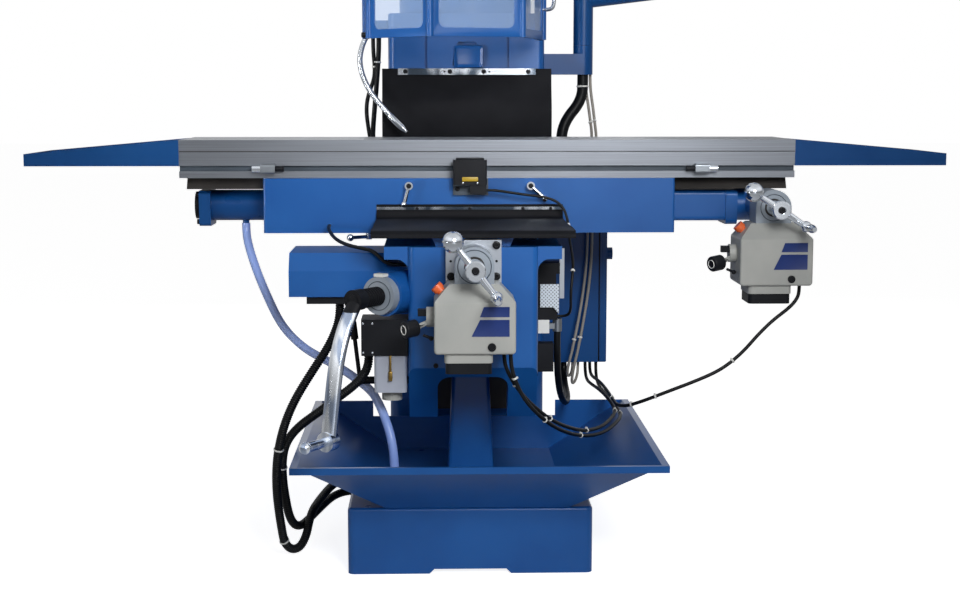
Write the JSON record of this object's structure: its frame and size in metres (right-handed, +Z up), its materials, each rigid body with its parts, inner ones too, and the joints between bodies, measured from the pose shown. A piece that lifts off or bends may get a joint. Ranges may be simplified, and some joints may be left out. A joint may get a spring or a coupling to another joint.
{
  "type": "turret milling machine",
  "caption": "Knee-type turret milling machine with a long slotted table, powered table and cross feeds, powered knee, chip tray and guarded quill head.",
  "frame": {"origin": "on the floor under the base, at the middle of the column's width and of the cross rib under the base", "axes": "+X right along the table, -Y to the operator, +Z up"},
  "size_m": [2.054, 1.757, 2.07],
  "materials": {
    "blue_paint": "gloss",
    "ground_steel": "ground",
    "chrome": "polished",
    "black_plastic": "satin",
    "dark_grey_plastic": "satin",
    "beige_paint": "satin",
    "black_rubber": "matte",
    "clear_hose": "translucent",
    "guard_glass": "clear",
    "orange_plastic": "gloss",
    "silver_ring": "turned"
  },
  "bodies": {
    "machine_base": {"base": "blue_paint", "chip_tray": "blue_paint", "column": "blue_paint", "rear_apron_strip": "chrome", "rear_apron": "black_rubber", "pedestal": "blue_paint", "cabinet": "blue_paint", "column_brackets": "blue_paint", "column_cables": "black_rubber", "pendant_hose": "black_rubber", "gooseneck": "silver_ring"},
    "cabinet_door": {"cabinet_door": "blue_paint"},
    "pendant_arm": {"pendant_arm": "blue_paint"},
    "knee": {"knee": "blue_paint", "z_dial": "silver_ring", "z_drive_cover": "blue_paint", "lubricator": "black_plastic", "knee_switches": "dark_grey_plastic", "y_feed_mount": "silver_ring", "y_feed_unit": "beige_paint", "conduits": "black_rubber", "y_feed_cables": "black_rubber", "cabinet_cables": "black_rubber", "drain_hose_lower": "clear_hose"},
    "elevating_screw": {"elevating_screw": "ground_steel"},
    "z_crank": {"z_crank": "chrome"},
    "knee_lock_lever": {"knee_lock_lever": "black_plastic"},
    "y_feed_lever": {"y_feed_lever": "beige_paint"},
    "y_feed_button": {"y_feed_button": "orange_plastic"},
    "y_feed_toggle": {"y_feed_toggle": "black_plastic"},
    "y_crank": {"y_crank": "chrome"},
    "saddle": {"saddle": "blue_paint", "x_bearing_left": "blue_paint", "x_gearbox": "blue_paint", "x_feed_unit": "beige_paint", "front_apron_strip": "chrome", "front_apron": "black_rubber", "limit_switch": "black_plastic", "saddle_cables": "black_rubber", "x_feed_cable": "black_rubber", "drain_hose_upper": "clear_hose"},
    "x_screw": {"x_screw": "ground_steel"},
    "x_crank": {"x_crank": "chrome"},
    "x_feed_lever": {"x_feed_lever": "beige_paint"},
    "x_feed_button": {"x_feed_button": "orange_plastic"},
    "x_feed_toggle": {"x_feed_toggle": "black_plastic"},
    "table_lock_left": {"table_lock_left": "chrome"},
    "table_lock_right": {"table_lock_right": "chrome"},
    "saddle_lock_lever": {"saddle_lock_lever": "chrome"},
    "table": {"table": "ground_steel", "table_wings": "blue_paint", "stop_dogs": "silver_ring"},
    "turret": {"turret": "blue_paint"},
    "ram": {"ram": "blue_paint"},
    "head": {"head": "blue_paint"},
    "quill": {"quill": "ground_steel"},
    "spindle": {"spindle": "ground_steel"},
    "quill_lever": {"quill_lever": "chrome"},
    "guard": {"guard_frame": "blue_paint", "guard_windows": "guard_glass"}
  },
  "joints": [
    {"name": "knee_z", "type": "slide", "parent": "machine_base", "child": "knee", "axis": [0, 0, 1], "range_m": [-0.18, 0.2], "deforming": ["conduits", "cabinet_cables", "drain_hose_lower", "y_feed_cables", "x_feed_cable", "drain_hose_upper", "rear_apron", "gooseneck"]},
    {"name": "elevating_screw_turn", "type": "hinge", "parent": "knee", "child": "elevating_screw", "pos_m": [0, -0.25, 0.4], "axis": [0, 0, 1], "continuous": true},
    {"name": "z_crank_turn", "type": "hinge", "parent": "knee", "child": "z_crank", "pos_m": [0, -0.25, 0.6], "axis": [-0.5446, -0.8387, 0], "continuous": true},
    {"name": "knee_lock", "type": "hinge", "parent": "knee", "child": "knee_lock_lever", "pos_m": [-0.2, -0.412, 0.404], "axis": [1, 0, 0], "range_deg": [-30, 30]},
    {"name": "y_feed_select", "type": "hinge", "parent": "knee", "child": "y_feed_lever", "pos_m": [-0.09, -0.618, 0.567], "axis": [1, 0, 0], "range_deg": [-25, 25]},
    {"name": "y_feed_press", "type": "slide", "parent": "knee", "child": "y_feed_button", "axis": [-0.7295, 0, 0.6839], "range_m": [-0.004, 0], "stiffness_N_per_m": 400, "springref_m": 0.002},
    {"name": "y_feed_switch", "type": "hinge", "parent": "knee", "child": "y_feed_toggle", "pos_m": [-0.0853, -0.632, 0.526], "axis": [0, 1, 0], "range_deg": [-12, 12]},
    {"name": "saddle_y", "type": "slide", "parent": "knee", "child": "saddle", "axis": [0, 1, 0], "range_m": [-0.29, 0.025], "deforming": ["front_apron", "saddle_cables"]},
    {"name": "y_crank_turn", "type": "hinge", "parent": "knee", "child": "y_crank", "pos_m": [0, -0.6, 0.668], "axis": [0, 1, 0], "continuous": true},
    {"name": "table_x", "type": "slide", "parent": "saddle", "child": "table", "axis": [1, 0, 0], "range_m": [-0.438, 0.371]},
    {"name": "x_screw_turn", "type": "hinge", "parent": "saddle", "child": "x_screw", "pos_m": [0, -0.08, 0.753], "axis": [1, 0, 0], "continuous": true},
    {"name": "x_crank_turn", "type": "hinge", "parent": "saddle", "child": "x_crank", "pos_m": [0.666, -0.3, 0.757], "axis": [0, 1, 0], "continuous": true},
    {"name": "x_feed_select", "type": "hinge", "parent": "saddle", "child": "x_feed_lever", "pos_m": [0.576, -0.248, 0.656], "axis": [1, 0, 0], "range_deg": [-25, 25]},
    {"name": "x_feed_press", "type": "slide", "parent": "saddle", "child": "x_feed_button", "axis": [-0.7295, 0, 0.6839], "range_m": [-0.004, 0], "stiffness_N_per_m": 400, "springref_m": 0.002},
    {"name": "x_feed_switch", "type": "hinge", "parent": "saddle", "child": "x_feed_toggle", "pos_m": [0.5807, -0.262, 0.615], "axis": [0, 1, 0], "range_deg": [-12, 12]},
    {"name": "table_lock_left_turn", "type": "hinge", "parent": "saddle", "child": "table_lock_left", "pos_m": [-0.135, -0.2, 0.803], "axis": [0, 1, 0], "range_deg": [-40, 40]},
    {"name": "table_lock_right_turn", "type": "hinge", "parent": "saddle", "child": "table_lock_right", "pos_m": [0.135, -0.2, 0.803], "axis": [0, 1, 0], "range_deg": [-40, 40]},
    {"name": "saddle_lock_turn", "type": "hinge", "parent": "saddle", "child": "saddle_lock_lever", "pos_m": [-0.226, -0.165, 0.69], "axis": [0, 0, 1], "range_deg": [-40, 30]},
    {"name": "cabinet_door_hinge", "type": "hinge", "parent": "machine_base", "child": "cabinet_door", "pos_m": [0.3493, 0.48, 0.61], "axis": [0, 0, 1], "range_deg": [0, 110]},
    {"name": "pendant_swivel", "type": "hinge", "parent": "machine_base", "child": "pendant_arm", "pos_m": [0.287, 0.215, 1.13], "axis": [0, 0, 1], "range_deg": [-90, 20]},
    {"name": "turret_swivel", "type": "hinge", "parent": "machine_base", "child": "turret", "pos_m": [0, 0.33, 1.2], "axis": [0, 0, 1], "range_deg": [-30, 30]},
    {"name": "ram_slide", "type": "slide", "parent": "turret", "child": "ram", "axis": [0, 1, 0], "range_m": [-0.28, 0.08]},
    {"name": "head_tilt", "type": "hinge", "parent": "ram", "child": "head", "pos_m": [0, 0.06, 1.484], "axis": [0, -1, 0], "range_deg": [-45, 45]},
    {"name": "quill_feed", "type": "slide", "parent": "head", "child": "quill", "axis": [0, 0, 1], "range_m": [-0.127, 0], "stiffness_N_per_m": 1500, "springref_m": 0.25},
    {"name": "spindle_turn", "type": "hinge", "parent": "quill", "child": "spindle", "pos_m": [0, -0.06, 1.3], "axis": [0, 0, 1], "continuous": true},
    {"name": "quill_lever_turn", "type": "hinge", "parent": "head", "child": "quill_lever", "pos_m": [0.12, -0.06, 1.585], "axis": [1, 0, 0], "range_deg": [-1, 250]},
    {"name": "guard_swing", "type": "hinge", "parent": "head", "child": "guard", "pos_m": [0.16272, 0.00684, 1.25], "axis": [0, 0, 1], "range_deg": [0, 80]}
  ],
  "couplings": [
    {"joint": "elevating_screw_turn", "follows": "knee_z", "rad_per_m": 1256.6},
    {"joint": "y_crank_turn", "follows": "saddle_y", "rad_per_m": 1256.6},
    {"joint": "x_screw_turn", "follows": "table_x", "rad_per_m": 1256.6},
    {"joint": "x_crank_turn", "follows": "table_x", "rad_per_m": 1256.6},
    {"joint": "quill_lever_turn", "follows": "quill_feed", "rad_per_m": -33.3}
  ]
}
